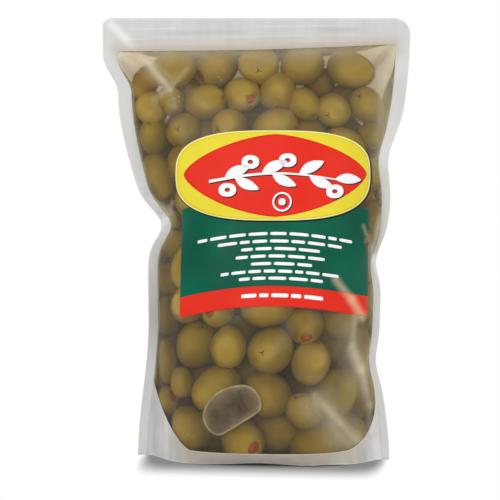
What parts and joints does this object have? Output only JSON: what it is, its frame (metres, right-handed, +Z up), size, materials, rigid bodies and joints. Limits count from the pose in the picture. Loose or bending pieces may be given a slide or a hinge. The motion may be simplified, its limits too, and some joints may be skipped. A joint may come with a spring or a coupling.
{
  "type": "bag of stuffed olives",
  "caption": "Clear sealed stand-up pouch of pimento-stuffed green olives in brine, with a flat header, side seals, a foot gusset and a printed front.",
  "frame": {"origin": "middle of the footprint, on the surface that the pouch stands on", "axes": "+Z up; +X to the right as the printed face is seen; the printed face towards -Y"},
  "size_m": [0.1509, 0.0639, 0.218],
  "materials": {
    "film": "glossy clear film, frosted where it is sealed",
    "olive": "waxy wet skin",
    "pimento": "soft, matt",
    "brine": "cloudy liquid",
    "yellow_print": "glossy ink",
    "red_print": "glossy ink",
    "green_print": "glossy ink",
    "white_print": "glossy ink",
    "black_print": "glossy ink"
  },
  "bodies": {
    "root": {"pouch": "film"}
  },
  "joints": []
}
